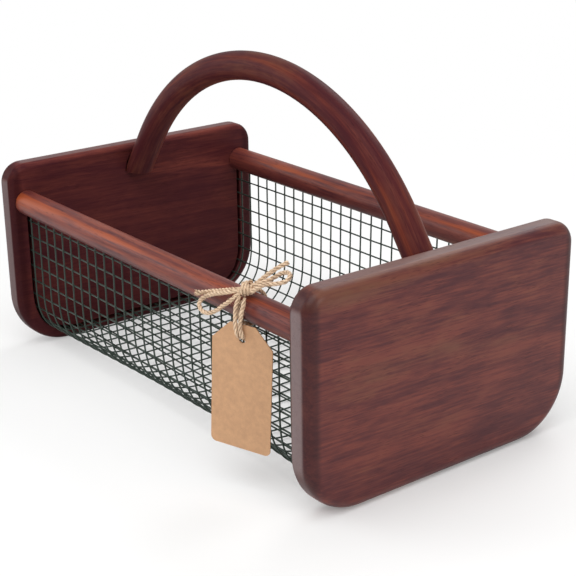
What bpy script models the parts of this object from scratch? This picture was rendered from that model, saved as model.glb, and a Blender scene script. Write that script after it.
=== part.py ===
"""Garden hod: two wood end boards, two round rails, a bent hoop handle, a U of welded wire mesh and a
card tag on a twine bow. Metres, +Z up. X runs along the basket, the twine side is -Y, the boards stand
on Z = 0 and the origin is midway between them."""

import math

import bmesh
import bpy
from mathutils import Euler, Matrix, Vector

# Boards
OVERALL_LENGTH = 0.4023
BOARD_WIDTH = 0.2396
BOARD_HEIGHT = 0.1575
BOARD_THICKNESS = 0.020
BOARD_ROUNDOVER = 0.008
BOARD_INNER_ROUNDOVER = 0.005
BOARD_BOTTOM_RADIUS = 0.045
BOARD_TOP_RADIUS = 0.017

# Rails
RAIL_DIAMETER = 0.01975
RAIL_INSET = 0.0141
RAIL_DROP = 0.0317
RAIL_SLOT_WIDTH = 0.0026
RAIL_SLOT_DEPTH = 0.0045
RAIL_DOWEL_DIAMETER = 0.008
RAIL_DOWEL_IN_BOARD = 0.010
RAIL_DOWEL_IN_RAIL = 0.018

# Handle
HANDLE_DIAMETER = 0.0217
HANDLE_RISE = 0.1018
HANDLE_LEG_ANGLE = math.radians(55.0)
HANDLE_FOOT_DROP = 0.023
HANDLE_FOOT_INSET = 0.00195
HANDLE_POCKET_CLEARANCE = 0.0008
HANDLE_DOWEL_DIAMETER = 0.006
HANDLE_DOWEL_OFFSET = 0.0068
HANDLE_DOWEL_IN_HANDLE = 0.018
HANDLE_DOWEL_IN_BOARD = 0.014

# Wire mesh, at twice its real pitch, held in the grooves at its ends and slack between them
WIRE_DIAMETER = 0.0013
MESH_SIDE_INSET = 0.0003
MESH_END_DEPTH = 0.0082
MESH_END_FLOOR = 0.0083
MESH_END_BEND = 0.072
MESH_MIDDLE_FLOOR = 0.0016
MESH_FRONT_BEND = 0.115
MESH_BACK_BEND = 0.0965
MESH_BACK_LEAN = 0.0017
MESH_SLACK_FAR = 0.175
MESH_SLACK_NEAR = 0.067
MESH_EASE_SHARE = 0.65
MESH_GAPS_ALONG = 15
MESH_GAPS_AROUND = 16
MESH_CUT_FIRST = 0.046
MESH_CUT_STEP = 0.012
MESH_CUTS = 10
GROOVE_WIDTH = 0.0052
GROOVE_DEPTH = 0.009
GROOVE_OUTSET = 0.001
GROOVE_CORNER_RADIUS = 0.035

# Tag
TAG_WIDTH = 0.046
TAG_HEIGHT = 0.0889
TAG_THICKNESS = 0.0008
TAG_TOP_WIDTH = 0.0195
TAG_CLIP_HEIGHT = 0.0133
TAG_CORNER_RADIUS = 0.004
TAG_HOLE_DIAMETER = 0.005
TAG_HOLE_DROP = 0.0102
TAG_HOLE_PLACE = Vector((0.1336, -0.1193, 0.1088))
TAG_TURN = math.radians(21.7)
TAG_ROLL = math.radians(-2.8)
TAG_KNOT_DIAMETER = 0.0064

# Twine
TWINE_DIAMETER = 0.0028
TWINE_POINT_STEP = 0.0060
TWINE_TAPER = 0.35
KNOT_PLACE = Vector((0.1282, -0.1110, 0.1396))
KNOT_LENGTH = 0.0110
KNOT_BREADTH = 0.0130
KNOT_THICKNESS = 0.0084
WRAP_X = 0.1262
WRAP_START_ANGLE = math.radians(36.0)
WRAP_END_ANGLE = math.radians(-258.0)
WRAP_POINTS = 22
SWING_PIVOT = Vector((0.1310, -0.1166, 0.1366))

# General
SEAT_GAP = 0.0003
CUT_OVERRUN = 0.004
ROUND_SIDES = 32
CORNER_POINTS = 9
ROUNDOVER_STEPS = 4
BEND_STEPS = 40
ARC_POINTS = 33
WELD_DISTANCE = 0.00001
MILLIMETRE = 0.001
SMOOTH_ANGLE = math.radians(40.0)

INNER_FACE = OVERALL_LENGTH / 2 - BOARD_THICKNESS
RAIL_Y = BOARD_WIDTH / 2 - RAIL_INSET
RAIL_Z = BOARD_HEIGHT - RAIL_DROP
SLOT_TOP = RAIL_Z - RAIL_DIAMETER / 2 + RAIL_SLOT_DEPTH
FOOT_X = INNER_FACE - HANDLE_FOOT_INSET
FOOT_Z = BOARD_HEIGHT - HANDLE_FOOT_DROP
HANDLE_TOP = BOARD_HEIGHT + HANDLE_RISE - HANDLE_DIAMETER / 2

# Twine routes, chosen by eye along the photographed bow
LEFT_TAIL = [
    (0.1216, -0.1137, 0.1384), (0.1162, -0.1142, 0.1367), (0.1083, -0.1153, 0.1343),
    (0.0963, -0.1175, 0.1307), (0.0848, -0.1200, 0.1269),
]
LEFT_LOOP = [
    (0.1240, -0.1176, 0.1348), (0.1205, -0.1190, 0.1313), (0.1151, -0.1204, 0.1270), (0.1085, -0.1220, 0.1219),
    (0.1015, -0.1232, 0.1184), (0.0945, -0.1236, 0.1180), (0.0908, -0.1230, 0.1218),
    (0.0945, -0.1219, 0.1270), (0.1035, -0.1205, 0.1316), (0.1137, -0.1190, 0.1350), (0.1212, -0.1173, 0.1376),
]
RIGHT_TAIL = [
    (0.1328, -0.1072, 0.1436), (0.1363, -0.1045, 0.1476), (0.1402, -0.1010, 0.1518),
    (0.1436, -0.0965, 0.1556), (0.1463, -0.0910, 0.1583),
]
RIGHT_LOOP = [
    (0.1346, -0.1104, 0.1431), (0.1378, -0.1070, 0.1457), (0.1410, -0.1032, 0.1474), (0.1442, -0.1000, 0.1500),
    (0.1478, -0.0978, 0.1528), (0.1526, -0.0969, 0.1545), (0.1574, -0.0981, 0.1542), (0.1584, -0.1019, 0.1516),
    (0.1549, -0.1051, 0.1498), (0.1505, -0.1076, 0.1486), (0.1460, -0.1098, 0.1474),
    (0.1419, -0.1119, 0.1448), (0.1371, -0.1130, 0.1412),
]
LEFT_STRAND = [
    (0.1283, -0.1166, 0.1366), (0.1280, -0.1193, 0.1313), (0.1290, -0.1210, 0.1261),
    (0.1310, -0.1229, 0.1197), (0.1315, -0.1227, 0.1155), (0.1328, -0.1223, 0.1121),
]
RIGHT_STRAND = [
    (0.1337, -0.1166, 0.1366), (0.1348, -0.1190, 0.1320), (0.1350, -0.1208, 0.1265),
    (0.1348, -0.1219, 0.1205), (0.1350, -0.1216, 0.1157), (0.1364, -0.1212, 0.1121),
]

part = bpy.data.collections.new("garden_hod")
cutters = bpy.data.collections.new("cutters")


def reset_scene():
    for obj in list(bpy.data.objects):
        bpy.data.objects.remove(obj)
    bpy.context.scene.collection.children.link(part)
    bpy.context.scene.collection.children.link(cutters)


def material(name, colour, roughness, metallic=0.0):
    mat = bpy.data.materials.new(name)
    mat.use_nodes = True
    shader = mat.node_tree.nodes["Principled BSDF"]
    shader.inputs["Base Color"].default_value = (*colour, 1.0)
    shader.inputs["Roughness"].default_value = roughness
    shader.inputs["Metallic"].default_value = metallic
    return mat


def wood_material(name):
    return material(name, (0.13, 0.045, 0.035), 0.45)


def twine_material(name):
    return material(name, (0.55, 0.38, 0.22), 0.9)


def add_object(name, data, mat=None, collection=part, parent=None, location=None):
    obj = bpy.data.objects.new(name, data)
    collection.objects.link(obj)
    if parent:
        obj.parent = parent
    if location:
        obj.location = location
    if mat:
        data.materials.append(mat)
    return obj


def as_cutter(obj):
    obj.hide_render = True
    obj.display_type = "WIRE"
    return obj


def curve_data(name, dimensions="3D"):
    data = bpy.data.curves.new(name, "CURVE")
    data.dimensions = dimensions
    data.render_resolution_u = 0
    return data


def poly_spline(data, points, closed=False, radii=None):
    spline = data.splines.new("POLY")
    spline.points.add(len(points) - 1)
    for index, point in enumerate(points):
        spline.points[index].co = (*Vector(point).to_3d(), 1.0)
        if radii:
            spline.points[index].radius = radii[index]
    spline.use_cyclic_u = closed
    return spline


def curve_to_mesh_object(obj, mat=None):
    """Turns a curve object into a welded mesh object of the same name and place."""
    graph = bpy.context.evaluated_depsgraph_get()
    mesh = bpy.data.meshes.new_from_object(obj.evaluated_get(graph))
    bm = bmesh.new()
    bm.from_mesh(mesh)
    bmesh.ops.remove_doubles(bm, verts=bm.verts, dist=WELD_DISTANCE)
    bmesh.ops.recalc_face_normals(bm, faces=bm.faces)
    bm.to_mesh(mesh)
    bm.free()
    name = obj.name
    matrix = obj.matrix_world.copy()
    collection = obj.users_collection[0]
    bpy.data.objects.remove(obj)
    mesh.materials.clear()
    made = add_object(name, mesh, mat, collection)
    made.matrix_world = matrix
    return made


def shade_smooth(obj):
    obj.data.shade_smooth()
    obj.data.set_sharp_from_angle(angle=SMOOTH_ANGLE)


def cut(obj, cutter):
    boolean = obj.modifiers.new("Cut " + cutter.name, "BOOLEAN")
    boolean.operation = "DIFFERENCE"
    boolean.object = cutter


def arc(centre, radius, start, end, count):
    """Points of an arc in the plane, both ends included."""
    steps = [start + (end - start) * index / (count - 1) for index in range(count)]
    return [(centre[0] + radius * math.cos(a), centre[1] + radius * math.sin(a)) for a in steps]


def cylinder(name, radius, length, matrix, collection=part, mat=None):
    """A cylinder from the matrix's origin along its +Z."""
    mesh = bpy.data.meshes.new(name)
    bm = bmesh.new()
    bmesh.ops.create_cone(
        bm, cap_ends=True, segments=ROUND_SIDES, radius1=radius, radius2=radius, depth=length,
        matrix=Matrix.Translation((0, 0, length / 2)))
    bm.to_mesh(mesh)
    bm.free()
    obj = add_object(name, mesh, mat, collection)
    obj.matrix_world = matrix
    if collection is cutters:
        as_cutter(obj)
    else:
        shade_smooth(obj)
    return obj


def box(name, low, high):
    """A cutter box between two corners."""
    mesh = bpy.data.meshes.new(name)
    bm = bmesh.new()
    bmesh.ops.create_cube(bm, size=1)
    bm.to_mesh(mesh)
    bm.free()
    obj = as_cutter(add_object(name, mesh, None, cutters))
    low = Vector(low)
    high = Vector(high)
    obj.matrix_world = Matrix.LocRotScale((low + high) / 2, None, high - low)
    return obj


def u_path(half_span, bottom, radius, top):
    """The U from the front top, down, across and up to the back top, as (y, z) points."""
    points = [(-half_span, top)]
    points += arc((-half_span + radius, bottom + radius), radius, math.pi, 1.5 * math.pi, CORNER_POINTS)
    points += arc((half_span - radius, bottom + radius), radius, 1.5 * math.pi, 2 * math.pi, CORNER_POINTS)
    points.append((half_span, top))
    return points


def board_outline(inset):
    """Outline of a board that far inside its own edge, as (y, z)."""
    half = BOARD_WIDTH / 2 - inset
    top = BOARD_HEIGHT - inset
    low = BOARD_BOTTOM_RADIUS - inset
    high = BOARD_TOP_RADIUS - inset
    points = arc((half - low, inset + low), low, -math.pi / 2, 0, CORNER_POINTS)
    points += arc((half - high, top - high), high, 0, math.pi / 2, CORNER_POINTS)
    points += arc((-half + high, top - high), high, math.pi / 2, math.pi, CORNER_POINTS)
    points += arc((-half + low, inset + low), low, math.pi, 1.5 * math.pi, CORNER_POINTS)
    return points


def board_rings():
    """How far inside the edge and how far out each ring of a board lies, from its outer face to its inner."""
    half = BOARD_THICKNESS / 2
    turns = [math.pi / 2 * index / ROUNDOVER_STEPS for index in range(ROUNDOVER_STEPS + 1)]
    outer = [(BOARD_ROUNDOVER * (1 - math.sin(a)), half - BOARD_ROUNDOVER * (1 - math.cos(a))) for a in turns]
    r = BOARD_INNER_ROUNDOVER
    inner = [(r * (1 - math.cos(a)), r * (1 - math.sin(a)) - half) for a in turns]
    return outer + inner


def face_frame(x, side):
    """A frame whose X is the row's +Y, Y is up and Z is +X, on the plane at x on one side."""
    return Matrix.Translation((side * x, 0, 0)) @ Matrix(((0, 0, 1, 0), (1, 0, 0, 0), (0, 1, 0, 0), (0, 0, 0, 1)))


def leg_frame(side, offset=0.0):
    """At the foot of a handle leg, with Z up along the leg towards the arc."""
    tilt = Euler((0, -side * (math.pi / 2 - HANDLE_LEG_ANGLE), 0)).to_matrix().to_4x4()
    return Matrix.Translation((side * (FOOT_X + offset), 0, FOOT_Z)) @ tilt


def rail_end_frame(side, y):
    """At a rail's end face, with Z pointing out of the basket."""
    turn = Euler((0, side * math.pi / 2, 0)).to_matrix().to_4x4()
    return Matrix.Translation((side * INNER_FACE, y, RAIL_Z)) @ turn


def groove_cutter(name, side):
    """The U-shaped band that the mesh's end sits in."""
    half = GROOVE_WIDTH / 2
    middle = RAIL_Y + GROOVE_OUTSET
    bottom = MESH_END_FLOOR - WIRE_DIAMETER / 2 - SEAT_GAP + half
    radius = GROOVE_CORNER_RADIUS
    outer = u_path(middle + half, bottom - half, radius + half, SLOT_TOP)
    inner = u_path(middle - half, bottom + half, radius - half, SLOT_TOP)
    data = curve_data(name, "2D")
    data.fill_mode = "BOTH"
    data.extrude = GROOVE_DEPTH
    poly_spline(data, outer + inner[::-1], closed=True)
    obj = add_object(name, data, None, cutters)
    obj.matrix_world = face_frame(INNER_FACE, side)
    return as_cutter(curve_to_mesh_object(obj))


def pocket_cutter(name, side):
    """A round pocket along the leg with a level floor just under the handle's foot."""
    radius = HANDLE_DIAMETER / 2 + HANDLE_POCKET_CLEARANCE
    frame = leg_frame(side) @ Matrix.Translation((0, 0, -HANDLE_DIAMETER))
    pocket = cylinder(name, radius, HANDLE_DIAMETER * 4, frame, cutters)
    floor = FOOT_Z - SEAT_GAP
    reach = HANDLE_DIAMETER * 4
    below = box(
        name + "_floor", (side * FOOT_X - reach, -reach, floor - reach), (side * FOOT_X + reach, reach, floor))
    cut(pocket, below)
    return pocket


def end_board(name, side):
    """One end board, with the mesh's groove, the handle's pocket and its dowel holes."""
    mesh = bpy.data.meshes.new(name)
    bm = bmesh.new()
    rings = []
    for inset, level in board_rings():
        rings.append([bm.verts.new((side * level, y, z)) for y, z in board_outline(inset)])
    for ring, after in zip(rings, rings[1:]):
        for index in range(len(ring)):
            bm.faces.new((ring[index - 1], ring[index], after[index], after[index - 1]))
    bm.faces.new(rings[0])
    bm.faces.new(rings[-1])
    bmesh.ops.recalc_face_normals(bm, faces=bm.faces)
    bm.to_mesh(mesh)
    bm.free()
    middle = Vector((side * (INNER_FACE + BOARD_THICKNESS / 2), 0, 0))
    board = add_object(name, mesh, wood_material(name), location=middle)
    shade_smooth(board)
    cut(board, groove_cutter(name + "_groove", side))
    cut(board, pocket_cutter(name + "_pocket", side))
    hole = HANDLE_DOWEL_DIAMETER / 2 + SEAT_GAP
    deep = HANDLE_DOWEL_IN_BOARD + SEAT_GAP
    frame = leg_frame(side, HANDLE_DOWEL_OFFSET) @ Matrix.Translation((0, 0, -deep))
    cut(board, cylinder(name + "_handle_dowel_hole", hole, deep + CUT_OVERRUN, frame, cutters))
    for label, y in (("front", -RAIL_Y), ("back", RAIL_Y)):
        hole = RAIL_DOWEL_DIAMETER / 2 + SEAT_GAP
        deep = RAIL_DOWEL_IN_BOARD + SEAT_GAP
        frame = rail_end_frame(side, y) @ Matrix.Translation((0, 0, -CUT_OVERRUN))
        cut(board, cylinder(f"{name}_{label}_dowel_hole", hole, deep + CUT_OVERRUN, frame, cutters))
    return board


def rail(name, y):
    """A round rail between the boards, slotted along its underside for the mesh."""
    length = 2 * (INNER_FACE - SEAT_GAP)
    turn = Euler((0, math.pi / 2, 0)).to_matrix().to_4x4()
    frame = Matrix.Translation((-length / 2, y, RAIL_Z)) @ turn
    obj = cylinder(name, RAIL_DIAMETER / 2, length, frame, mat=wood_material(name))
    half = RAIL_SLOT_WIDTH / 2
    slot = box(
        name + "_slot", (-INNER_FACE - CUT_OVERRUN, y - half, RAIL_Z - RAIL_DIAMETER),
        (INNER_FACE + CUT_OVERRUN, y + half, SLOT_TOP))
    cut(obj, slot)
    for label, side in (("far", -1), ("near", 1)):
        deep = RAIL_DOWEL_IN_RAIL + SEAT_GAP
        frame = rail_end_frame(side, y) @ Matrix.Translation((0, 0, -deep))
        radius = RAIL_DOWEL_DIAMETER / 2 + SEAT_GAP
        cut(obj, cylinder(f"{name}_{label}_hole", radius, deep + CUT_OVERRUN, frame, cutters))
    return obj


def rail_dowel(name, side, y):
    frame = rail_end_frame(side, y) @ Matrix.Translation((0, 0, -RAIL_DOWEL_IN_RAIL))
    length = RAIL_DOWEL_IN_RAIL + RAIL_DOWEL_IN_BOARD
    return cylinder(name, RAIL_DOWEL_DIAMETER / 2, length, frame, mat=wood_material(name))


def handle_arc_radius():
    """Radius of the arc whose tangent legs meet the feet at the leg angle."""
    sine = math.sin(HANDLE_LEG_ANGLE)
    cosine = math.cos(HANDLE_LEG_ANGLE)
    return (FOOT_X * sine + (FOOT_Z - HANDLE_TOP) * cosine) / (1 - cosine)


def handle(name):
    """The bent hoop, an arc with straight legs whose feet are cut level."""
    radius = handle_arc_radius()
    start = math.pi / 2 + HANDLE_LEG_ANGLE
    end = math.pi / 2 - HANDLE_LEG_ANGLE
    points = arc((0, HANDLE_TOP - radius), radius, start, end, ARC_POINTS)
    reach = Vector((math.cos(HANDLE_LEG_ANGLE), -math.sin(HANDLE_LEG_ANGLE))) * HANDLE_DIAMETER
    foot = Vector((FOOT_X, FOOT_Z)) + reach
    points = [(-foot.x, foot.y)] + points + [(foot.x, foot.y)]
    data = curve_data(name)
    data.bevel_depth = HANDLE_DIAMETER / 2
    data.bevel_resolution = 6
    data.use_fill_caps = True
    poly_spline(data, [(x, 0, z) for x, z in points])
    obj = curve_to_mesh_object(add_object(name, data), wood_material(name))
    shade_smooth(obj)
    below = box(
        name + "_foot_cut", (-OVERALL_LENGTH, -HANDLE_DIAMETER, FOOT_Z - HANDLE_DIAMETER * 2),
        (OVERALL_LENGTH, HANDLE_DIAMETER, FOOT_Z))
    cut(obj, below)
    for label, side in (("far", -1), ("near", 1)):
        frame = leg_frame(side, HANDLE_DOWEL_OFFSET) @ Matrix.Translation((0, 0, -CUT_OVERRUN))
        length = HANDLE_DOWEL_IN_HANDLE + SEAT_GAP + CUT_OVERRUN
        hole = HANDLE_DOWEL_DIAMETER / 2 + SEAT_GAP
        cut(obj, cylinder(f"{name}_{label}_hole", hole, length, frame, cutters))
    return obj


def handle_dowel(name, side):
    frame = leg_frame(side, HANDLE_DOWEL_OFFSET) @ Matrix.Translation((0, 0, -HANDLE_DOWEL_IN_BOARD))
    length = HANDLE_DOWEL_IN_HANDLE + HANDLE_DOWEL_IN_BOARD
    return cylinder(name, HANDLE_DOWEL_DIAMETER / 2, length, frame, mat=wood_material(name))


def mesh_curve(x):
    """The U's middle line at a place along the basket, from its front top, as (y, z) points."""
    length = MESH_SLACK_NEAR if x > 0 else MESH_SLACK_FAR
    share = min(1.0, max(0.0, (INNER_FACE - abs(x)) / length))
    slack = share ** 2 * (3 - 2 * share)
    floor = MESH_END_FLOOR + slack * (MESH_MIDDLE_FLOOR - MESH_END_FLOOR)
    half_span = RAIL_Y - MESH_SIDE_INSET
    sides = []
    for bend, lean in ((MESH_FRONT_BEND, 0.0), (MESH_BACK_BEND, MESH_BACK_LEAN)):
        step = (MESH_END_BEND + slack * (bend - MESH_END_BEND)) / BEND_STEPS
        points = [(half_span - lean * slack, floor)]
        for index in range(BEND_STEPS):
            place = (index + 0.5) / BEND_STEPS
            ease = MESH_EASE_SHARE * math.sin(2 * math.pi * place) / (2 * math.pi)
            turn = (place - ease) * math.pi / 2
            points.append((points[-1][0] - step * math.sin(turn), points[-1][1] - step * math.cos(turn)))
        lift = floor - points[-1][1]
        top = SLOT_TOP - SEAT_GAP - WIRE_DIAMETER / 2
        sides.append([(half_span, top)] + [(y, z + lift) for y, z in points])
    front, back = sides
    return [(-y, z) for y, z in front] + back[::-1]


def point_on(curve, share, outward):
    """The (y, z) at a share of a curve's length, that far off on its outer side."""
    lengths = [0.0]
    for start, end in zip(curve, curve[1:]):
        lengths.append(lengths[-1] + math.dist(start, end))
    run = share * lengths[-1]
    place = 0
    while place < len(curve) - 2 and lengths[place + 1] < run:
        place += 1
    start, end = Vector(curve[place]), Vector(curve[place + 1])
    along = (end - start).normalized()
    return start + along * (run - lengths[place]) + Vector((along.y, -along.x)) * outward


def wire_mesh(name):
    """The welded mesh, made flat as a grid of wires and then bent to its U."""
    curves = {}
    middle = mesh_curve(0)
    total = sum(math.dist(start, end) for start, end in zip(middle, middle[1:]))
    bm = bmesh.new()
    bmesh.ops.create_grid(bm, x_segments=MESH_GAPS_ALONG, y_segments=MESH_GAPS_AROUND, size=1)
    bmesh.ops.scale(bm, vec=(INNER_FACE + MESH_END_DEPTH, total / 2, 1), verts=bm.verts)
    bmesh.ops.wireframe(
        bm, faces=bm.faces, thickness=WIRE_DIAMETER, use_replace=True, use_boundary=True, use_even_offset=True)
    for index in range(MESH_CUTS):
        run = total / 2 - MESH_CUT_FIRST - MESH_CUT_STEP * index
        for level in (-run, run):
            geometry = bm.verts[:] + bm.edges[:] + bm.faces[:]
            bmesh.ops.bisect_plane(bm, geom=geometry, plane_co=(0, level, 0), plane_no=(0, 1, 0))
    for vert in bm.verts:
        if vert.co.x not in curves:
            curves[vert.co.x] = mesh_curve(vert.co.x)
        share = (vert.co.y + total / 2) / total
        vert.co = (vert.co.x, *point_on(curves[vert.co.x], share, -vert.co.z))
    bmesh.ops.recalc_face_normals(bm, faces=bm.faces)
    mesh = bpy.data.meshes.new(name)
    bm.to_mesh(mesh)
    bm.free()
    return add_object(name, mesh, material(name, (0.03, 0.05, 0.04), 0.5))


def smooth_route(route):
    """Points along a smooth curve through a route's own points, one step apart."""
    anchors = [Vector(point) for point in route]
    first = anchors[0] * 2 - anchors[1]
    last = anchors[-1] * 2 - anchors[-2]
    anchors = [first] + anchors + [last]
    fine = []
    for index in range(1, len(anchors) - 2):
        before, start, end, after = anchors[index - 1:index + 3]
        for step in range(ROUND_SIDES):
            t = step / ROUND_SIDES
            fine.append(0.5 * (
                2 * start + (end - before) * t
                + (2 * before - 5 * start + 4 * end - after) * t ** 2
                + (3 * start - before - 3 * end + after) * t ** 3))
    fine.append(anchors[-2])
    lengths = [0.0]
    for start, end in zip(fine, fine[1:]):
        lengths.append(lengths[-1] + (end - start).length)
    count = max(2, round(lengths[-1] / TWINE_POINT_STEP))
    points = []
    place = 0
    for index in range(count + 1):
        run = lengths[-1] * index / count
        while place < len(fine) - 2 and lengths[place + 1] < run:
            place += 1
        share = (run - lengths[place]) / (lengths[place + 1] - lengths[place])
        points.append(fine[place].lerp(fine[place + 1], share))
    print(f"route of {lengths[-1] / MILLIMETRE:.1f} mm")
    return points


def twine_tube(name, points, parent=None, tapered=False):
    """A tube of twine along world points; a tapered one starts thin, where a tight knot grips it."""
    origin = parent.location if parent else Vector()
    data = curve_data(name)
    data.bevel_depth = TWINE_DIAMETER / 2
    data.bevel_resolution = 2
    data.use_fill_caps = True
    radii = [1.0] * len(points)
    if tapered:
        radii[0] = TWINE_TAPER
    poly_spline(data, [Vector(point) - origin for point in points], radii=radii)
    return add_object(name, data, twine_material(name), parent=parent)


def twine_wrap(name):
    """The turn of twine round the front rail, from the knot's front down, under and up to its back."""
    radius = RAIL_DIAMETER / 2 + SEAT_GAP + TWINE_DIAMETER / 2
    count = WRAP_POINTS
    points = []
    for index in range(count):
        angle = WRAP_START_ANGLE + (WRAP_END_ANGLE - WRAP_START_ANGLE) * index / (count - 1)
        points.append((WRAP_X, -RAIL_Y - radius * math.cos(angle), RAIL_Z + radius * math.sin(angle)))
    return twine_tube(name, points)


def twine_knot(name):
    """The bow's middle, a flattened ball on the rail."""
    mesh = bpy.data.meshes.new(name)
    bm = bmesh.new()
    bmesh.ops.create_uvsphere(bm, u_segments=ROUND_SIDES // 2, v_segments=ROUND_SIDES // 3, radius=0.5)
    bmesh.ops.scale(bm, vec=(KNOT_BREADTH, KNOT_LENGTH, KNOT_THICKNESS), verts=bm.verts)
    bm.to_mesh(mesh)
    bm.free()
    obj = add_object(name, mesh, twine_material(name), location=KNOT_PLACE)
    outward = Vector((0, KNOT_PLACE.y + RAIL_Y, KNOT_PLACE.z - RAIL_Z))
    obj.rotation_euler = (math.atan2(-outward.y, outward.z), 0, 0)
    shade_smooth(obj)
    return obj


def tag_frame():
    """At the tag's hole, with X across the tag, Y up it and Z out of its front."""
    turn = Euler((math.pi / 2, 0, TAG_TURN)).to_matrix().to_4x4()
    return Matrix.Translation(TAG_HOLE_PLACE) @ turn @ Matrix.Rotation(TAG_ROLL, 4, "Z")


def tag_outline():
    """The card's outline round its hole's centre."""
    half = TAG_WIDTH / 2
    top = TAG_HOLE_DROP
    bottom = top - TAG_HEIGHT
    r = TAG_CORNER_RADIUS
    points = [(-half, top - TAG_CLIP_HEIGHT)]
    points += arc((-half + r, bottom + r), r, math.pi, 1.5 * math.pi, CORNER_POINTS)
    points += arc((half - r, bottom + r), r, 1.5 * math.pi, 2 * math.pi, CORNER_POINTS)
    points += [(half, top - TAG_CLIP_HEIGHT), (TAG_TOP_WIDTH / 2, top), (-TAG_TOP_WIDTH / 2, top)]
    return points


def tag(name, parent):
    data = curve_data(name, "2D")
    data.fill_mode = "BOTH"
    data.extrude = TAG_THICKNESS / 2
    poly_spline(data, tag_outline(), closed=True)
    hole = arc((0, 0), TAG_HOLE_DIAMETER / 2, 0, 2 * math.pi, ROUND_SIDES)
    poly_spline(data, hole[:-1], closed=True)
    obj = add_object(name, data, material(name, (0.60, 0.42, 0.27), 0.8), parent=parent)
    obj.matrix_world = tag_frame()
    return obj


def tag_knot(name, parent):
    """A ball behind the tag with a neck of twine through the upper part of its hole."""
    neck = TWINE_DIAMETER / 2
    back = -TAG_THICKNESS / 2 - SEAT_GAP
    front = TAG_THICKNESS / 2 + SEAT_GAP + TWINE_DIAMETER
    ball = TAG_KNOT_DIAMETER / 2
    middle = back - math.sqrt(ball ** 2 - neck ** 2)
    lowest = math.atan2(neck, back - middle)
    turns = [math.pi - (math.pi - lowest) * index / ROUND_SIDES * 2 for index in range(ROUND_SIDES // 2 + 1)]
    profile = [(0.0, front), (neck, front)]
    profile += [(ball * math.sin(a), middle + ball * math.cos(a)) for a in reversed(turns[1:])]
    profile += [(0.0, middle - ball)]
    mesh = bpy.data.meshes.new(name)
    bm = bmesh.new()
    verts = [bm.verts.new((r, 0, z)) for r, z in profile]
    for start, end in zip(verts, verts[1:]):
        bm.edges.new((start, end))
    bm.to_mesh(mesh)
    bm.free()
    obj = add_object(name, mesh, twine_material(name), parent=parent)
    lift = TAG_HOLE_DIAMETER / 2 - neck - SEAT_GAP
    obj.matrix_world = tag_frame() @ Matrix.Translation((0, lift, 0))
    screw = obj.modifiers.new("Turn", "SCREW")
    screw.steps = ROUND_SIDES // 2
    screw.render_steps = ROUND_SIDES // 2
    screw.use_merge_vertices = True
    screw.merge_threshold = WELD_DISTANCE
    return obj


def main():
    reset_scene()
    for label, side in (("far", -1), ("near", 1)):
        end_board("end_panel_" + label, side)
        handle_dowel("handle_dowel_" + label, side)
    for label, y in (("front", -RAIL_Y), ("back", RAIL_Y)):
        rail("rail_" + label, y)
        rail_dowel(f"rail_dowel_{label}_far", -1, y)
        rail_dowel(f"rail_dowel_{label}_near", 1, y)
    handle("handle")
    wire_mesh("wire_mesh")

    twine_knot("twine_knot")
    twine_wrap("twine_wrap")
    twine_tube("twine_left_tail", smooth_route(LEFT_TAIL))
    twine_tube("twine_left_loop", smooth_route(LEFT_LOOP))
    twine_tube("twine_right_tail", smooth_route(RIGHT_TAIL))
    twine_tube("twine_right_loop", smooth_route(RIGHT_LOOP))

    swing = bpy.data.objects.new("tag_swing", None)
    part.objects.link(swing)
    swing.location = SWING_PIVOT
    bpy.context.view_layer.update()
    twine_tube("twine_left_strand", smooth_route(LEFT_STRAND), swing, tapered=True)
    twine_tube("twine_right_strand", smooth_route(RIGHT_STRAND), swing, tapered=True)
    tag("tag", swing)
    tag_knot("tag_knot", swing)


main()
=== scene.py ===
from math import asin, atan2, cos, hypot, pi, radians, sin

import bmesh
import bpy
import numpy as np
from bpy.props import FloatProperty, FloatVectorProperty, IntProperty, PointerProperty
from bpy.types import Operator, Panel, PropertyGroup
from mathutils import Euler, Matrix, Vector
from numpy.linalg import norm


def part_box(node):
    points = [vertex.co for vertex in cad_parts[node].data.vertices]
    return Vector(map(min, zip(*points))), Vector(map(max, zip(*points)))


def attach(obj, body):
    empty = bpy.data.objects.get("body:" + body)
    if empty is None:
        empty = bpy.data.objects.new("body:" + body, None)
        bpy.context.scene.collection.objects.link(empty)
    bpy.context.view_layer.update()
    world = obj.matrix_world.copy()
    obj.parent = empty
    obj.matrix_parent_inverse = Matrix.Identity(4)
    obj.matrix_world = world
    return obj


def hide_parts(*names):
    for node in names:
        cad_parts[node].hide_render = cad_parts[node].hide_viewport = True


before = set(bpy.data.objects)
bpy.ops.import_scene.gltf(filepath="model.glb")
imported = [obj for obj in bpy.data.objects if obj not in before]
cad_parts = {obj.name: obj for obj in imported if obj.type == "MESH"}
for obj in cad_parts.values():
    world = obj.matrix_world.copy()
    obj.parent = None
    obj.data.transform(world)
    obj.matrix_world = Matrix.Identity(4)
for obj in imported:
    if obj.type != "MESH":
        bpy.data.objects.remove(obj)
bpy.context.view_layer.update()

bl_info = {
    "name": "Garden hod",
    "version": (1, 0, 0),
    "blender": (4, 5, 0),
    "location": "3D View > Sidebar > Garden Hod",
    "description": "Builds a garden hod of stained wood, welded mesh and jute twine round its packed model",
    "category": "Add Mesh",
}

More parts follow.
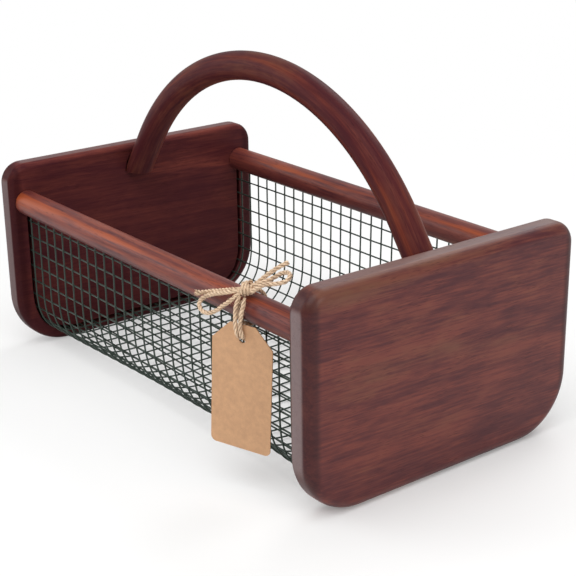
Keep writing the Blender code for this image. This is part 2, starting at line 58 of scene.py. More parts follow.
# Twine routes, the same points as the solids follow
LEFT_TAIL = [
    (0.1216, -0.1137, 0.1384), (0.1162, -0.1142, 0.1367), (0.1083, -0.1153, 0.1343),
    (0.0963, -0.1175, 0.1307), (0.0848, -0.1200, 0.1269),
]
LEFT_LOOP = [
    (0.1240, -0.1176, 0.1348), (0.1205, -0.1190, 0.1313), (0.1151, -0.1204, 0.1270),
    (0.1085, -0.1220, 0.1219), (0.1015, -0.1232, 0.1184), (0.0945, -0.1236, 0.1180),
    (0.0908, -0.1230, 0.1218), (0.0945, -0.1219, 0.1270), (0.1035, -0.1205, 0.1316),
    (0.1137, -0.1190, 0.1350), (0.1212, -0.1173, 0.1376),
]
RIGHT_TAIL = [
    (0.1328, -0.1072, 0.1436), (0.1363, -0.1045, 0.1476), (0.1402, -0.1010, 0.1518),
    (0.1436, -0.0965, 0.1556), (0.1463, -0.0910, 0.1583),
]
RIGHT_LOOP = [
    (0.1346, -0.1104, 0.1431), (0.1378, -0.1070, 0.1457), (0.1410, -0.1032, 0.1474),
    (0.1442, -0.1000, 0.1500), (0.1478, -0.0978, 0.1528), (0.1526, -0.0969, 0.1545),
    (0.1574, -0.0981, 0.1542), (0.1584, -0.1019, 0.1516), (0.1549, -0.1051, 0.1498),
    (0.1505, -0.1076, 0.1486), (0.1460, -0.1098, 0.1474), (0.1419, -0.1119, 0.1448),
    (0.1371, -0.1130, 0.1412),
]
LEFT_STRAND = [
    (0.1283, -0.1166, 0.1366), (0.1280, -0.1193, 0.1313), (0.1290, -0.1210, 0.1261),
    (0.1310, -0.1229, 0.1197), (0.1315, -0.1227, 0.1155), (0.1328, -0.1223, 0.1121),
]
RIGHT_STRAND = [
    (0.1337, -0.1166, 0.1366), (0.1348, -0.1190, 0.1320), (0.1350, -0.1208, 0.1265),
    (0.1348, -0.1219, 0.1205), (0.1350, -0.1216, 0.1157), (0.1364, -0.1212, 0.1121),
]
THROUGH_HOLE = [
    (0.1328, -0.1205, 0.1102), (0.1316, -0.1175, 0.1098), (0.1332, -0.1169, 0.1098),
    (0.1347, -0.1197, 0.1102),
]
KNOT_CENTRE = Vector((0.1282, -0.1110, 0.1396))
WRAP_X = 0.1262
WRAP_ANGLES = (radians(36.0), radians(-258.0))
TAG_HOLE = Vector((0.1336, -0.1193, 0.1088))
TAG_TURN = radians(21.7)
TAG_ROLL = radians(-2.8)

# The camera fitted to the photograph, with angles in radians and its lens in millimetres
CAMERA_PLACE = (0.8179, -0.6071, 0.4519)
CAMERA_PAN = 0.9134
CAMERA_DIP = 0.3587
CAMERA_ROLL = -0.0126
CAMERA_LENS = 88.166
CAMERA_SHIFT = (-0.00653, 0.01655)

WHITE = (1.0, 1.0, 1.0, 1.0)

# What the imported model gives
NEAR_LOW, NEAR_HIGH = (Vector(corner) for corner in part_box("end_panel_near"))
RAIL_LOW, RAIL_HIGH = (Vector(corner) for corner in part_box("rail_front"))
HANDLE_LOW, HANDLE_HIGH = (Vector(corner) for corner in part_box("handle"))
INNER_FACE = NEAR_LOW.x
OUTER_FACE = NEAR_HIGH.x
BOARD_HALF_WIDTH = NEAR_HIGH.y
BOARD_HEIGHT = NEAR_HIGH.z
RAIL_RADIUS = (RAIL_HIGH.y - RAIL_LOW.y) / 2
RAIL_Y = -(RAIL_HIGH.y + RAIL_LOW.y) / 2
RAIL_Z = RAIL_HIGH.z - RAIL_RADIUS
HANDLE_RADIUS = HANDLE_HIGH.y
HANDLE_TOP = HANDLE_HIGH.z - HANDLE_RADIUS
FOOT_Z = HANDLE_LOW.z

# Gap between seated pieces, and the place of the handle's feet
SEAT_GAP = 0.0003
FOOT_X = INNER_FACE - 0.00195
LEG_ANGLE = radians(55.0)

# The mesh's first hoop clear of the far board, and the count of hoops from it to the near board
FIRST_HOOP_X = -0.17664
HOOP_COUNT = 29

# Growth rings in the wood, and how the boards' grain climbs across them
RING_PITCH = 0.0075
GRAIN_CLIMB = 0.03

# Height from which the near board's stain is thinner
PALE_ABOVE = 0.122


def measure(name, description, default):
    return FloatProperty(name=name, description=description, default=default, unit="LENGTH")


def colour(name, description, *default):
    return FloatVectorProperty(name=name, description=description, default=default, subtype="COLOR")


class HodSizes(PropertyGroup):
    """Sizes of the hod's details."""
    roundover: measure("Outer roundover", "Radius of the boards' outer edges", 0.008)
    inner_roundover: measure("Inner roundover", "Radius of the boards' inner edges", 0.005)
    bottom_radius: measure("Bottom corner radius", "Radius of the boards' lower corners", 0.045)
    top_radius: measure("Top corner radius", "Radius of the boards' upper corners", 0.017)
    groove_depth: measure("Groove depth", "Depth of the mesh's groove in the boards", 0.009)
    slot_width: measure("Rail slot width", "Width of the slot under each rail", 0.0026)
    slot_depth: measure("Rail slot depth", "Depth of the slot under each rail", 0.0045)
    pocket_clearance: measure("Pocket clearance", "Gap between the handle and its pockets", 0.0008)
    wire_diameter: measure("Wire diameter", "Diameter of the coated mesh wire", 0.0013)
    wire_pitch: measure("Mesh pitch", "Distance from wire to wire", 0.0127)
    first_wire: measure("First long wire", "Run from the sheet's front top to its first long wire", 0.0087)
    wire_skew: measure("Long wires' skew", "How much further round they lie at the far board", 0.0016)
    end_floor: measure("Floor at the ends", "Height of the sheet's floor in the grooves", 0.0083)
    middle_floor: measure("Floor in the middle", "Height of the sheet's sagging floor", 0.0016)
    end_bend: measure("End bend", "Length of the sheet's bends in the grooves", 0.072)
    front_bend: measure("Front bend", "Length of the sheet's front bend where it is slack", 0.115)
    back_bend: measure("Back bend", "Length of the sheet's back bend where it is slack", 0.0965)
    back_lean: measure("Back lean", "How far the slack back wall leans in", 0.0017)
    bend_ease: FloatProperty(
        name="Bend ease", description="How much softer the bends are at their ends", default=0.65)
    slack_far: measure("Far slack length", "Length over which it slackens from the far board", 0.175)
    slack_near: measure("Near slack length", "Length over which it slackens from the near board", 0.067)
    twine_diameter: measure("Twine diameter", "Diameter of the twine over its plies", 0.0028)
    twine_lay: measure("Twine lay", "Length of one full turn of a ply", 0.0100)
    fuzz_per_mm: FloatProperty(
        name="Fuzz", description="Loose fibres on each millimetre of twine", default=12.0)
    seed: IntProperty(name="Seed", description="Start of the random draws", default=7)


class HodColours(PropertyGroup):
    """Colours of the hod's materials."""
    wood_red: colour("Stain, red", "The stain's common red brown", 0.190, 0.045, 0.032)
    # Stain, plum also takes the painted shade where a piece's tone is turned down
    wood_plum: colour("Stain, plum", "The stain's darker zones", 0.066, 0.014, 0.018)
    wood_brown: colour("Stain, brown", "Where the wood shows through thin stain", 0.135, 0.058, 0.033)
    # Stain, grey is a painted grey sheen on the end grain of the boards' sides and on their top edges
    wood_grey: colour("Stain, grey", "Dull end grain on the boards' sides", 0.200, 0.145, 0.145)
    wood_orange: colour("Stain, orange", "Rubbed streaks along edges and rounds", 0.330, 0.068, 0.022)
    beech: colour("Dowel wood", "Plain wood of the dowels", 0.56, 0.38, 0.22)
    wire: colour("Wire coating", "Dark green coating of the mesh", 0.030, 0.031, 0.023)
    jute_light: colour("Jute, light", "Clean fibres of the twine", 0.87, 0.655, 0.455)
    # Jute, dark also serves as the painted shade in the crevices between the plies
    jute_dark: colour("Jute, dark", "Darker fibres of the twine", 0.27, 0.145, 0.075)
    card: colour("Card", "Brown kraft card of the tag", 0.63, 0.360, 0.196)
    floor: colour("Floor", "The studio floor", 0.90, 0.90, 0.895)


# Shader expressions

class Term:
    """An output of a node. Sums, products and powers of terms add Math nodes."""

    def __init__(self, finish, node, socket):
        self.finish = finish
        self.node = node
        self.socket = socket

    def out(self, name):
        return Term(self.finish, self.node, self.node.outputs[name])

    def maths(self, operation, *values):
        return self.finish.node("Math", {"operation": operation}, values)

    def __add__(self, other):
        return self.maths("ADD", self, other)

    __radd__ = __add__

    def __sub__(self, other):
        return self.maths("SUBTRACT", self, other)

    def __rsub__(self, other):
        return self.maths("SUBTRACT", other, self)

    def __mul__(self, other):
        return self.maths("MULTIPLY", self, other)

    __rmul__ = __mul__

    def __truediv__(self, other):
        return self.maths("DIVIDE", self, other)

    def __pow__(self, other):
        return self.maths("POWER", self, other)

    def fraction(self):
        return self.maths("FRACT", self)

    def rise(self, low, high):
        """A smooth step from 0 at low to 1 at high."""
        return self.finish.node(
            "MapRange", {"interpolation_type": "SMOOTHSTEP"}, (self, low, high, 0.0, 1.0))


class Finish:
    """A material's or world's node tree."""

    def __init__(self, block):
        block.use_nodes = True
        self.block = block
        self.nodes = block.node_tree.nodes
        self.links = block.node_tree.links
        self.nodes.clear()

    def node(self, kind, settings=None, values=()):
        """Adds a node, gives it its settings and then its sockets' values or links."""
        made = self.nodes.new("ShaderNode" + kind)
        for key, value in (settings or {}).items():
            setattr(made, key, value)
        enabled = [socket for socket in made.inputs if socket.enabled]
        named = {socket.name: socket for socket in reversed(enabled)}
        pairs = values.items() if isinstance(values, dict) else enumerate(values)
        for key, value in pairs:
            socket = enabled[key] if isinstance(key, int) else named[key]
            if isinstance(value, Term):
                self.links.new(value.socket, socket)
            else:
                socket.default_value = value
        shown = [socket for socket in made.outputs if socket.enabled]
        return Term(self, made, shown[0] if shown else None)

    def place(self):
        return self.node("TexCoord").out("Object")

    def vector(self, *parts):
        return self.node("CombineXYZ", None, parts)

    def attribute(self, name):
        return self.node("Attribute", {"attribute_name": name}).out("Vector")

    def split(self, vector):
        parts = self.node("SeparateXYZ", None, (vector,))
        return parts.out("X"), parts.out("Y"), parts.out("Z")

    def stretched(self, vector, along, across):
        """Coordinates in which a texture is drawn out along the first axis."""
        return self.node(
            "VectorMath", {"operation": "MULTIPLY"}, (vector, (along, across, across)))

    def noise(self, vector, detail=3.0, roughness=0.55, distortion=0.0):
        return self.node("TexNoise", None, {
            "Vector": vector, "Scale": 1.0, "Detail": detail, "Roughness": roughness,
            "Distortion": distortion})

    def drawn(self, vector, along, across, **settings):
        """Noise drawn out along the first axis."""
        return self.noise(self.stretched(vector, along, across), **settings)

    def cells(self, vector, along, across):
        """Distance from the middle of cells drawn out along the first axis."""
        return self.node("TexVoronoi", None, {
            "Vector": self.stretched(vector, along, across), "Scale": 1.0})

    def mix(self, share, low, high):
        """A colour between two, which are colours or terms."""
        low = low if isinstance(low, Term) else (*low, 1.0)
        high = high if isinstance(high, Term) else (*high, 1.0)
        return self.node("Mix", {"data_type": "RGBA"}, {"Factor": share, "A": low, "B": high})

    def bump(self, height, strength, distance):
        values = {"Strength": strength, "Distance": distance, "Height": height}
        return self.node("Bump", None, values)

    def surface(self, **values):
        """Adds the closing shader, its sockets named in lower case, and gives the finished material."""
        named = {key.replace("_", " ").title().replace("Ior", "IOR"): values[key] for key in values}
        self.close(self.node("BsdfPrincipled", None, named), "OutputMaterial")
        return self.block

    def close(self, shader, kind):
        self.node(kind, None, {"Surface": shader})


def new_finish(name):
    return Finish(bpy.data.materials.new(name))


def shade_of(base, factor, lift=0.0):
    """A colour made darker or paler."""
    return tuple(min(1.0, lift + factor * channel) for channel in base)


def stained_wood(colours, name="stained_wood", gloss=0.24):
    """Dark reddish stain on a plain wood with soft rings, long fibres and short pores, a painted grey sheen
    on the end grain and painted shade where a piece's tone is turned down.
    """
    finish = new_finish(name)
    grain = finish.attribute("grain")
    worn, tone_and_shade, cut = finish.split(finish.attribute("wear_shade_and_sheen"))
    thin, aside, _ = finish.split(finish.attribute("cast"))
    _, across, up = finish.split(grain)
    sway = finish.drawn(grain, 4.0, 14.0, detail=2.0) - 0.5
    ripple = finish.drawn(grain, 16.0, 55.0) - 0.5
    ring_place = (across ** 2.0 + up ** 2.0) ** 0.5 + sway * 0.030 + ripple * 0.0045
    ring = (ring_place / RING_PITCH).fraction()
    late = ring.rise(0.25, 0.85) * (1.0 - ring.rise(0.90, 1.0))
    fibre = finish.drawn(grain, 30.0, 600.0, detail=4.0, roughness=0.70)
    streak = finish.drawn(grain, 5.0, 120.0, distortion=0.6)
    cloud = finish.drawn(grain, 14.0, 42.0, detail=4.0, roughness=0.65)
    pore = 1.0 - finish.cells(grain, 95.0, 1150.0).rise(0.10, 0.34)
    pore = pore * finish.drawn(grain, 30.0, 140.0, detail=1.0).rise(0.42, 0.62)

    red = 0.56 + (fibre - 0.5) * 1.7 + (streak - 0.5) * 0.9 + (cloud - 0.5) * 1.5 - late * 0.12
    base = finish.mix((red * tone_and_shade).rise(0.0, 1.0), colours.wood_plum, colours.wood_red)
    thinned = thin + (cloud - 0.5) * 1.5 + (fibre - 0.5) * 0.6
    base = finish.mix(thinned.rise(0.1, 0.9), base, colours.wood_brown)
    rubbed = worn * (1.0 - cut) * streak.rise(0.40, 0.66) * (0.55 + fibre * 0.6)
    base = finish.mix(rubbed.rise(0.05, 0.80), base, colours.wood_orange)
    # Painted grey sheen on the end grain and, nearly as much, on the boards' top edges
    end_grain_sheen = cut.rise(0.925, 0.998)
    base = finish.mix(end_grain_sheen * (0.62 + fibre * 0.5), base, colours.wood_grey)
    dark = shade_of(colours.wood_plum, 0.45)
    off_middle = (aside * aside) ** 0.5
    rim = off_middle.rise(BOARD_HALF_WIDTH - 0.0120, BOARD_HALF_WIDTH - 0.0070) * (1.0 - end_grain_sheen)
    base = finish.mix(rim * (0.40 + streak * 0.50), base, dark)
    # Darker where a piece's tone is below one: the stain's own tone, and painted shade on the far board and
    # under the rails
    base = finish.mix(((1.0 - tone_and_shade) * 0.9).rise(0.0, 1.0), base, dark)
    base = finish.mix(pore * 0.60, base, dark)
    return finish.surface(
        base_color=base,
        roughness=0.32 + fibre * 0.12 + pore * 0.15,
        normal=finish.bump(fibre * 0.55 - pore * 0.9 + late * 0.3, 0.35, 0.00012),
        specular_ior_level=gloss)


def dull_wood(colours):
    """The same stain where its varnish is rubbed dull."""
    return stained_wood(colours, "dull_wood", 0.05)


def dowel_beech(colours):
    """The dowels' pale wood with small flecks, drawn in the object's own place."""
    finish = new_finish("dowel_beech")
    place = finish.place()
    fibre = finish.drawn(place, 60.0, 500.0, detail=4.0)
    fleck = 1.0 - finish.cells(place, 260.0, 1400.0).rise(0.08, 0.30)
    base = finish.mix(
        (0.8 - fibre * 0.8 + fleck * 0.35).rise(0.0, 1.0), colours.beech, shade_of(colours.beech, 0.55))
    return finish.surface(base_color=base, roughness=0.62, normal=finish.bump(fibre, 0.2, 0.0001))


def coated_wire(colours):
    """Dark green coating, a little uneven and duller where dust lies."""
    finish = new_finish("coated_wire")
    place = finish.place()
    lumps = finish.drawn(place, 700.0, 700.0)
    patches = finish.drawn(place, 45.0, 45.0, detail=2.0)
    base = finish.mix(patches.rise(0.45, 0.80) * 0.7, colours.wire, shade_of(colours.wire, 1.5, 0.012))
    return finish.surface(
        base_color=base, roughness=0.36 + patches * 0.18, normal=finish.bump(lumps, 0.4, 0.00008))


def jute_twine(colours):
    """Golden jute fibres that follow each ply, with painted shade darkening the crevices between the plies.
    """
    finish = new_finish("jute_twine")
    run, turn, ply = finish.split(finish.attribute("lay"))
    ply_shade, _, _ = finish.split(finish.attribute("ply_shade"))
    strands = finish.vector(run * 120.0 + ply * 7.0, turn * 3.0 + run * 900.0, ply * 3.0)
    fibre = finish.noise(strands, detail=4.0, roughness=0.7)
    patch = finish.noise(finish.vector(run * 160.0, ply * 5.0, turn * 0.4), detail=2.0)
    # Painted shade darkens the jute in the crevices between the plies
    share = (fibre - 0.5) * 1.7 + (patch - 0.5) * 1.1 + 0.30 + ply_shade * 0.48
    base = finish.mix(share.rise(0.0, 1.0), colours.jute_light, colours.jute_dark)
    return finish.surface(
        base_color=base, roughness=0.86, normal=finish.bump(fibre, 0.75, 0.00016), sheen_weight=0.15,
        sheen_roughness=0.5)


def kraft_card(colours):
    """Brown kraft card with cloudy pulp and small dark fibres."""
    finish = new_finish("kraft_card")
    place = finish.place()
    pulp = finish.drawn(place, 240.0, 240.0, detail=5.0, roughness=0.65)
    cloud = finish.drawn(place, 45.0, 45.0, detail=2.0)
    fleck = finish.drawn(place, 1300.0, 2600.0, detail=1.0).rise(0.66, 0.74)
    pale, dull, dark = (shade_of(colours.card, factor) for factor in (1.16, 0.72, 0.5))
    base = finish.mix((pulp * 0.6 + cloud * 0.25 + 0.08).rise(0.1, 1.0), dull, pale)
    base = finish.mix(fleck * 0.35, base, dark)
    return finish.surface(base_color=base, roughness=0.85, normal=finish.bump(pulp, 0.25, 0.00006))


def shared_finish(make):
    """The material that a function makes, made the first time it is asked for."""
    return bpy.data.materials.get(make.__name__) or make(bpy.context.scene.hod_colours)


def dress_node(name, make):
    """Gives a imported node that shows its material."""
    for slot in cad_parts[name].material_slots:
        slot.material = shared_finish(make)


# Mesh helpers

def put(name, data):
    """A new object in the scene that holds the data."""
    thing = bpy.data.objects.new(name, data)
    bpy.context.scene.collection.objects.link(thing)
    return thing


def add_piece(name, mesh, make_finish, body, replaced, smooth_degrees=38.0):
    """Puts a finished mesh in the scene on its body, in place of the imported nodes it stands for."""
    mesh.materials.clear()
    mesh.materials.append(shared_finish(make_finish))
    mesh.shade_smooth()
    mesh.set_sharp_from_angle(angle=radians(smooth_degrees))
    piece = put(name, mesh)
    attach(piece, body)
    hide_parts(*replaced)
    return piece


def mark(mesh, name, values):
    """Gives each point of the mesh a vector that its material reads."""
    data = mesh.attributes.new(name, "FLOAT_VECTOR", "POINT")
    data.data.foreach_set("vector", np.asarray(values, dtype=np.float32).ravel())


def vectors(items, name):
    """Each item's vector of that name, as rows."""
    flat = np.zeros(len(items) * 3, dtype=np.float32)
    items.foreach_get(name, flat)
    return flat.reshape(-1, 3).astype(float)


def mesh_from(name, verts, faces):
    mesh = bpy.data.meshes.new(name)
    mesh.from_pydata([tuple(map(float, vert)) for vert in verts], [], faces)
    mesh.validate()
    return mesh


def skin(rows, count, base=0):
    """Faces over rows of points, each row closed round, with a cap at each end."""
    faces = [tuple(reversed(range(base, base + count)))]
    for low in range(base, base + (rows - 1) * count, count):
        for index in range(count):
            after = (index + 1) % count
            faces.append((low + index, low + after, low + count + after, low + count + index))
    last = base + (rows - 1) * count
    return faces + [tuple(range(last, last + count))]


def write_out(bm, mesh):
    """Turns the faces outwards and writes them to the mesh."""
    bmesh.ops.recalc_face_normals(bm, faces=bm.faces)
    bm.to_mesh(mesh)
    bm.free()
    return mesh


def cut_level(bm, height):
    """Takes away what is below a height, and closes the cut."""
    cut = bmesh.ops.bisect_plane(
        bm, geom=bm.verts[:] + bm.edges[:] + bm.faces[:], plane_co=(0, 0, height), plane_no=(0, 0, -1),
        clear_outer=True)
    rims = [item for item in cut["geom_cut"] if isinstance(item, bmesh.types.BMEdge)]
    bmesh.ops.holes_fill(bm, edges=rims)


def turned_out(mesh, lowest=None):
    """The mesh with its faces turned outwards, cut off level where a lowest height is given."""
    bm = bmesh.new()
    bm.from_mesh(mesh)
    if lowest is not None:
        cut_level(bm, lowest)
    return write_out(bm, mesh)


def arc(centre, radius, start, end, count):
    angles = np.linspace(start, end, count)
    return [(centre[0] + radius * cos(a), centre[1] + radius * sin(a)) for a in angles]


def summed(steps):
    """Running totals that start at nought."""
    return np.concatenate([[0.0], np.cumsum(steps)])


def runs_along(points):
    """How far along a line each of its points lies."""
    return summed(norm(np.diff(points, axis=0), axis=1))


def directions(points):
    """Tangents of a line of points and two side directions that turn as little as possible."""
    tangents = np.gradient(points, axis=0)
    tangents /= norm(tangents, axis=1)[:, None]
    first = np.cross(tangents[0], (0.0, 0.0, 1.0))
    if norm(first) < 0.2:
        first = np.cross(tangents[0], (0.0, 1.0, 0.0))
    sides = [first / norm(first)]
    for tangent in tangents[1:]:
        side = sides[-1] - tangent * np.dot(sides[-1], tangent)
        sides.append(side / norm(side))
    sides = np.array(sides)
    return tangents, sides, np.cross(tangents, sides)


class Tubes:
    """Many tubes gathered into one mesh, each point with its run, angle and ply."""

    def __init__(self):
        self.verts = []
        self.faces = []
        self.lays = []
        self.count = 0

    def add(self, points, radii, sides, ply=0.0):
        points = np.asarray(points, float)
        radii = np.broadcast_to(np.asarray(radii, float), (len(points),))
        _, right, up = directions(points)
        angles = np.arange(sides) * 2 * pi / sides
        cosines, sines = np.cos(angles)[:, None], np.sin(angles)[:, None]
        ring = cosines * right[:, None, :] + sines * up[:, None, :]
        self.verts.append((points[:, None, :] + ring * radii[:, None, None]).reshape(-1, 3))
        self.faces += skin(len(points), sides, self.count)
        self.lays.append(np.column_stack([
            np.repeat(runs_along(points), sides), np.tile(angles, len(points)),
            np.full(len(points) * sides, ply)]))
        self.count += len(points) * sides

    def mesh(self, name):
        mesh = mesh_from(name, np.concatenate(self.verts), self.faces)
        mark(mesh, "lay", np.concatenate(self.lays))
        return mesh


def minus(mesh, cutters):
    """The mesh with each cutter mesh taken out of it."""
    body = put("uncut", mesh)
    used = [body]
    for cutter in cutters:
        cut = body.modifiers.new("Cut", "BOOLEAN")
        cut.operation = "DIFFERENCE"
        cut.object = put("cutter", cutter)
        used.append(cut.object)
    graph = bpy.context.evaluated_depsgraph_get()
    result = bpy.data.meshes.new_from_object(body.evaluated_get(graph))
    for thing in used:
        bpy.data.objects.remove(thing)
    return result


class Sheet:
    """The welded sheet's U at one place along the basket, held in the grooves and slack between them."""

    def __init__(self, x, sizes):
        length = sizes.slack_near if x > 0 else sizes.slack_far
        share = min(1.0, max(0.0, (INNER_FACE - abs(x)) / length))
        slack = share ** 2 * (3 - 2 * share)
        floor = sizes.end_floor + slack * (sizes.middle_floor - sizes.end_floor)
        half_span = RAIL_Y - SEAT_GAP
        top = RAIL_Z - RAIL_RADIUS + sizes.slot_depth - SEAT_GAP
        places = (np.arange(60) + 0.5) / 60
        turns = (places - sizes.bend_ease * np.sin(2 * pi * places) / (2 * pi)) * pi / 2
        sides = []
        for bend, lean in ((sizes.front_bend, 0.0), (sizes.back_bend, sizes.back_lean)):
            step = (sizes.end_bend + slack * (bend - sizes.end_bend)) / len(places)
            y = half_span - lean * slack - summed(np.sin(turns)) * step
            down = summed(np.cos(turns)) * step
            z = floor + down[-1] - down
            sides.append(np.column_stack([np.append(half_span, y), np.append(top, z)]))
        self.points = np.concatenate([sides[0] * (-1, 1), sides[1][::-1]])
        self.runs = runs_along(self.points)

    def at(self, runs, inward):
        """(y, z) at runs along the U from its front top, that far inside it."""
        def place(run):
            return np.stack([np.interp(run, self.runs, self.points[:, axis]) for axis in (0, 1)], axis=-1)
        along = place(runs + 0.0005) - place(runs - 0.0005)
        along /= norm(along, axis=-1, keepdims=True)
        return place(runs) + np.stack([-along[..., 1], along[..., 0]], axis=-1) * inward


# Wood

def rounded_outline(inset, sizes, count):
    """Outline of a board, that far inside its own edge, as (y, z)."""
    low = sizes.bottom_radius - inset
    high = sizes.top_radius - inset
    half = BOARD_HALF_WIDTH - inset
    top = BOARD_HEIGHT - inset
    points = arc((half - low, inset + low), low, -pi / 2, 0, count)
    points += arc((half - high, top - high), high, 0, pi / 2, count)
    points += arc((-half + high, top - high), high, pi / 2, pi, count)
    points += arc((-half + low, inset + low), low, pi, 1.5 * pi, count)
    return points


def groove_solid(side, sizes):
    """The band round the sheet's end curve that it is let into."""
    sheet = Sheet(side * INNER_FACE, sizes)
    steps = np.linspace(0.0005, sheet.runs[-1] - 0.0005, 120)
    room = sizes.wire_diameter / 2 + SEAT_GAP
    outer = [tuple(spot) for spot in sheet.at(steps, -room)]
    inner = [tuple(spot) for spot in sheet.at(steps, room + sizes.wire_diameter)]
    loop = outer + inner[::-1]
    reach = INNER_FACE - sizes.groove_depth, INNER_FACE + sizes.groove_depth
    bm = bmesh.new()
    near, far = ([bm.verts.new((side * x, y, z)) for y, z in loop] for x in reach)
    for ring in (near, far):
        for index in range(len(outer) - 1):
            bm.faces.new((ring[index], ring[index + 1], ring[-2 - index], ring[-1 - index]))
    for index in range(len(loop)):
        after = (index + 1) % len(loop)
        bm.faces.new((near[index], near[after], far[after], far[index]))
    return write_out(bm, bpy.data.meshes.new("groove"))


def pocket_solid(side, sizes):
    """The round pocket along the leg, with a level floor under the handle's foot."""
    radius = HANDLE_RADIUS + sizes.pocket_clearance
    tilt = Euler((0, -side * (pi / 2 - LEG_ANGLE), 0)).to_matrix().to_4x4()
    leg = Matrix.Translation((side * FOOT_X, 0, FOOT_Z)) @ tilt
    bm = bmesh.new()
    bmesh.ops.create_cone(
        bm, cap_ends=True, segments=64, radius1=radius, radius2=radius, depth=8 * HANDLE_RADIUS,
        matrix=leg @ Matrix.Translation((0, 0, 2 * HANDLE_RADIUS)))
    cut_level(bm, FOOT_Z - SEAT_GAP)
    return write_out(bm, bpy.data.meshes.new("pocket"))


def board_mesh(name, side, sizes):
    """A board as rings from its outer face round its edge to its inner face, with its groove and pocket."""
    half = (OUTER_FACE - INNER_FACE) / 2
    middle = (OUTER_FACE + INNER_FACE) / 2
    rounding = np.linspace(0, pi / 2, 11)
    outer, inner = sizes.roundover, sizes.inner_roundover
    flat_rim = 0.0015
    profile = [(outer + flat_rim, half)]
    profile += [(outer * (1 - sin(a)), half - outer * (1 - cos(a))) for a in rounding]
    profile += [(inner * (1 - cos(a)), inner * (1 - sin(a)) - half) for a in rounding]
    profile.append((inner + flat_rim, -half))
    verts = []
    for inset, level in profile:
        outline = rounded_outline(inset, sizes, 19)
        verts += [(side * (middle + level), y, z) for y, z in outline]
    mesh = turned_out(mesh_from(name, verts, skin(len(profile), len(outline))))
    return minus(mesh, [groove_solid(side, sizes), pocket_solid(side, sizes)])


def edge_wear(x, sizes):
    """How far round its edge each point of a board is, from 0 on its faces to 1 on its rim."""
    x = np.abs(x)
    outer = np.abs(OUTER_FACE - x) / sizes.roundover
    inner = np.abs(x - INNER_FACE) / sizes.inner_roundover
    return np.clip(np.minimum(outer, inner), 0.0, 1.0)


def mark_wood(mesh, grain, worn, tone_and_shade, thin, cut=0.0, aside=0.0):
    """Grain is each point's place with the first number along the fibres. Worn, thin and cut are the shares
    of rubbed stain, thin stain and end grain with its painted grey sheen, the tone darkens a piece for its
    stain and for painted shade, and aside is a board's own place across the basket."""
    mark(mesh, "grain", grain)
    for name, values in (("wear_shade_and_sheen", (worn, tone_and_shade, cut)), ("cast", (thin, aside, 0.0))):
        mark(mesh, name, np.column_stack([np.broadcast_to(value, len(grain)) for value in values]))


class HOD_OT_boards(Operator):
    """Makes the two end boards"""
    bl_idname = "hod.boards"
    bl_label = "End boards"

    def execute(self, context):
        sizes = context.scene.hod_sizes
        pale_zone, dark_zone = 0.035, 0.050
        for label, side, tone_and_shade, pith, make_finish in (
            ("near", 1, 1.0, (0.30, 0.085, -0.055), stained_wood),
            # The far board's lower tone is partly a darker stain and partly painted shade from the near
            # board and the basket round it
            ("far", -1, 0.66, (1.70, -0.070, 0.010), dull_wood),
        ):
            node = "end_panel_" + label
            mesh = board_mesh(node, side, sizes)
            x, y, z = vectors(mesh.vertices, "co").T
            normals = np.abs(vectors(mesh.vertices, "normal"))
            climb = z + pith[2] + y * GRAIN_CLIMB
            grain = np.column_stack([y + pith[0], x + pith[1] - side * OUTER_FACE, climb])
            # The top edge gets nearly the end grain's painted grey sheen and is hardly rubbed
            top = normals[:, 2] * (z > BOARD_HEIGHT / 2)
            worn = edge_wear(x, sizes) * (1 - 0.75 * top) * 0.9
            high = np.clip((z - PALE_ABOVE) / pale_zone, 0, 1)
            low = np.clip((dark_zone - z) / dark_zone, 0, 1)
            thin = (high * 0.60 + low * 0.25) * (side > 0) - 0.12
            cut = np.maximum(normals[:, 1], top * 0.965)
            # Darker towards the bottom and the sides, with the top edge at full tone
            tones_and_shade = (tone_and_shade - 0.18 * low - 0.06 * (y / BOARD_HALF_WIDTH) ** 2) * (1 - top) + top
            mark_wood(mesh, grain, worn, tones_and_shade, thin, cut, y)
            add_piece(f"board_{label}", mesh, make_finish, "basket", [node])
        return {"FINISHED"}


class HOD_OT_rails(Operator):
    """Makes the two slotted rails"""
    bl_idname = "hod.rails"
    bl_label = "Rails"

    def execute(self, context):
        sizes = context.scene.hod_sizes
        half = sizes.slot_width / 2
        edge = asin(half / RAIL_RADIUS)
        ring = arc((0, 0), RAIL_RADIUS, -pi / 2 + edge, 1.5 * pi - edge, 97)
        roof = -RAIL_RADIUS + sizes.slot_depth
        ring += [(-half, roof), (half, roof)]
        stations = np.linspace(RAIL_LOW.x, RAIL_HIGH.x, 25)
        for label, middle, tone_and_shade, shift in (("front", -RAIL_Y, 1.15, 0.9), ("back", RAIL_Y, 1.05, 2.3)):
            node = "rail_" + label
            verts = [(x, middle + a, RAIL_Z + b) for x in stations for a, b in ring]
            mesh = turned_out(mesh_from(node, verts, skin(len(stations), len(ring))))
            points = vectors(mesh.vertices, "co")
            grain = points + np.array((shift, -middle + 0.021 * shift, -RAIL_Z + 0.030))
            height = np.arctan2(points[:, 2] - RAIL_Z, middle - points[:, 1])
            worn = 0.40 + 0.5 * np.exp(-((height - 0.70) / 0.45) ** 2)
            # Darker below each rail's middle: painted shade on the undersides
            mark_wood(mesh, grain, worn, tone_and_shade - 0.35 * np.clip(0.2 - height, 0, 1), -0.2)
            add_piece(f"round_rail_{label}", mesh, stained_wood, "basket", [node])
        return {"FINISHED"}


